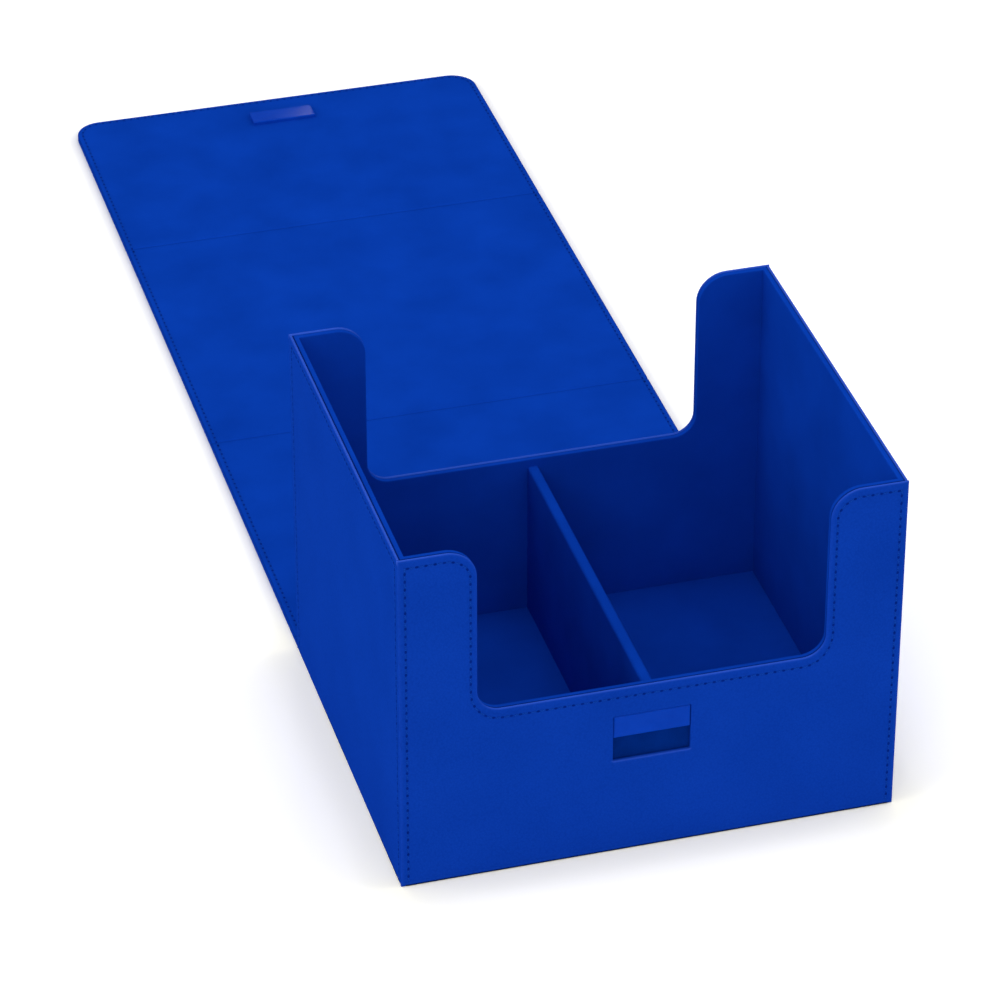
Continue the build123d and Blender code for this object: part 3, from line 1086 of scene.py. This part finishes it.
@dataclass(frozen=True)
class Studio:
    """Floor, light and camera."""

    eye: tuple[float, float, float] = (-0.454752, -1.478183, 1.117988)
    pitch: float = 33.2529
    yaw: float = 15.8281
    lens: float = 175.457
    sky: float = 0.51
    floor_half: float = 9.0
    floor_drop: float = 0.05 * MM
    floor_patch: float = 60 * MM
    floor_shades: Flat = (0.94, 0.96)
    # Painted warm tint near the box, which takes out blue light bounced off the box.
    floor_near: tuple[float, float, float] = (1.34, 1.31, 1.12)
    floor_far: tuple[float, float, float] = (1.34, 1.34, 1.34)
    floor_ramp: float = 45 * MM
    # Strength of the painted contact shadow.
    contact: float = 0.4
    contact_reach: float = 15 * MM
    contact_samples: int = 16
    floor_fade: Flat = (0.9, 1.8)
    lamps: tuple[Softbox, ...] = (
        Softbox("overhead_softbox", (-0.05, 0.15, 1.75), (0.75, 0.75), 5.8),
        Softbox("front_softbox", (-0.5, -1.9, 1.3), (1.8, 1.2), 14.0),
        Softbox("left_softbox", (-1.9, -0.1, 1.1), (1.8, 1.2), 14.0),
        Softbox("right_softbox", (1.9, -0.1, 1.1), (1.8, 1.2), 13.0),
        Softbox("rear_softbox", (0.349, 1.744, 0.779), (0.16, 0.16), 1.3, roll=45.0),
    )

    @staticmethod
    def _seen(graph: Graph) -> Field:
        """1 for rays from the camera, in reflections and through glass, 0 for rays that light the scene."""
        camera, glossy, transmission = (graph.node("ShaderNodeLightPath", out=f"Is {kind} Ray")
                                        for kind in ("Camera", "Glossy", "Transmission"))
        return camera | glossy | transmission

    @staticmethod
    def _matt(graph: Graph, colour: Field) -> Field:
        """A surface with no shine."""
        return graph.node("ShaderNodeBsdfPrincipled", {}, {
            "Base Color": colour, "Roughness": 1.0, "Specular IOR Level": 0.0})

    def _floor_colour(self, graph: Graph, point: Field, shade: Field) -> Field:
        """The paper as the camera sees it: bright, with a painted warm tint near the box that takes out blue
        light bounced off it, and a painted contact shadow where the case touches it.

        Args:
            graph: The floor's nodes.
            point: The place on the floor.
            shade: The plain paper's colour.

        Returns:
            The colour.
        """
        spread = graph.vector("SUBTRACT", graph.vector("ABSOLUTE", point), tuple(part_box("base_skin")[1]))
        outside = graph.span(graph.length(graph.vector("MAXIMUM", spread)), 0.0, self.floor_ramp)
        tint = graph.mix(outside, (*self.floor_near, 1.0), (*self.floor_far, 1.0))
        clear = graph.node("ShaderNodeAmbientOcclusion", {"samples": self.contact_samples},
                           {"Distance": self.contact_reach}, "AO")
        shadow = 1.0 - (1.0 - clear) ** 0.5 * outside * self.contact
        return graph.vector("MULTIPLY", graph.vector("MULTIPLY", shade, tint), shadow)

    def _floor(self) -> bpy.types.Object:
        """A wide white floor that keeps the object's shadow."""
        shell, half = Shell(), self.floor_half
        corners = ((-half, -half), (half, -half), (half, half), (-half, half))
        shell.face(shell.ring(Vector((x, y, -self.floor_drop)) for x, y in corners))
        material = bpy.data.materials.new("white_floor")
        material.use_nodes = True
        graph = Graph(material.node_tree)
        point = graph.node("ShaderNodeTexCoord", out="Object")
        shades = ((level, level, level, 1.0) for level in self.floor_shades)
        shade = graph.mix(graph.noise(point, self.floor_patch), *shades)
        paper = self._matt(graph, shade)
        bright = self._matt(graph, self._floor_colour(graph, point, shade))
        white = graph.node("ShaderNodeEmission", {}, {"Color": (1.0, 1.0, 1.0, 1.0), "Strength": 1.0})
        far = graph.span(graph.length(point), *self.floor_fade)
        faded = graph.node("ShaderNodeMixShader", {}, {0: far, 1: bright, 2: white})
        surface = graph.node("ShaderNodeMixShader", {}, {0: self._seen(graph), 1: paper, 2: faded})
        graph.node("ShaderNodeOutputMaterial", {}, {"Surface": surface})
        return shell.finish("studio_floor", material)

    def _sky(self) -> None:
        """Even light from all round, and white behind the floor's edge."""
        world = bpy.data.worlds.new("studio")
        bpy.context.scene.world = world
        world.use_nodes = True
        graph = Graph(world.node_tree)
        white = (1.0, 1.0, 1.0, 1.0)
        fill = graph.node("ShaderNodeBackground", {}, {"Color": white, "Strength": self.sky})
        seen = graph.node("ShaderNodeBackground", {}, {"Color": white, "Strength": 1.0})
        both = graph.node("ShaderNodeMixShader", {}, {0: self._seen(graph), 1: fill, 2: seen})
        graph.node("ShaderNodeOutputWorld", {}, {"Surface": both})

    def _camera(self) -> bpy.types.Object:
        """The camera at the photograph's place."""
        data = bpy.data.cameras.new("camera")
        data.sensor_width = 36.0
        data.lens = self.lens
        data.clip_end = 50.0
        camera = bpy.data.objects.new("camera", data)
        camera.location = self.eye
        camera.rotation_euler = (math.radians(90 - self.pitch), 0.0, math.radians(-self.yaw))
        bpy.context.scene.collection.objects.link(camera)
        return camera

    def build(self) -> None:
        """Sets up the floor, the lamps, the sky and the camera."""
        self._floor()
        low, high = CAD_BOX
        target = (Vector(low) + Vector(high)) / 2
        for lamp in self.lamps:
            lamp.build(target)
        self._sky()
        scene = bpy.context.scene
        scene.camera = self._camera()
        scene.view_settings.view_transform = "Standard"


class Part(Protocol):
    """Anything that builds pieces of the case."""

    def build(self) -> list[bpy.types.Object]:
        """Makes the pieces."""


def main() -> None:
    """Builds the case's parts in order and sets up the studio."""
    logging.basicConfig(level=logging.INFO, format="%(name)s: %(message)s")
    form, palette = CaseForm.from_frame(), Palette()
    stretches = (("back", ("case", "cover_back"), ("rear_fold", "back_panel")),
                 ("top", ("cover_back", "cover_top"), ("top_fold", "top_panel")),
                 ("flap", ("cover_top", "cover_flap"), ("front_fold", "flap")))
    parts: list[Part] = [Wall(form, side, palette) for side in Side]
    parts += [Bottom(palette), Divider(palette)]
    parts += [CoverSheet(form, palette, *stretch, index) for index, stretch in enumerate(stretches)]
    parts.append(HardParts(palette))
    for part in parts:
        for piece in part.build():
            LOG.info("%s: %d faces", piece.name, len(piece.data.polygons))
    Studio().build()


if __name__ == "__main__":
    main()
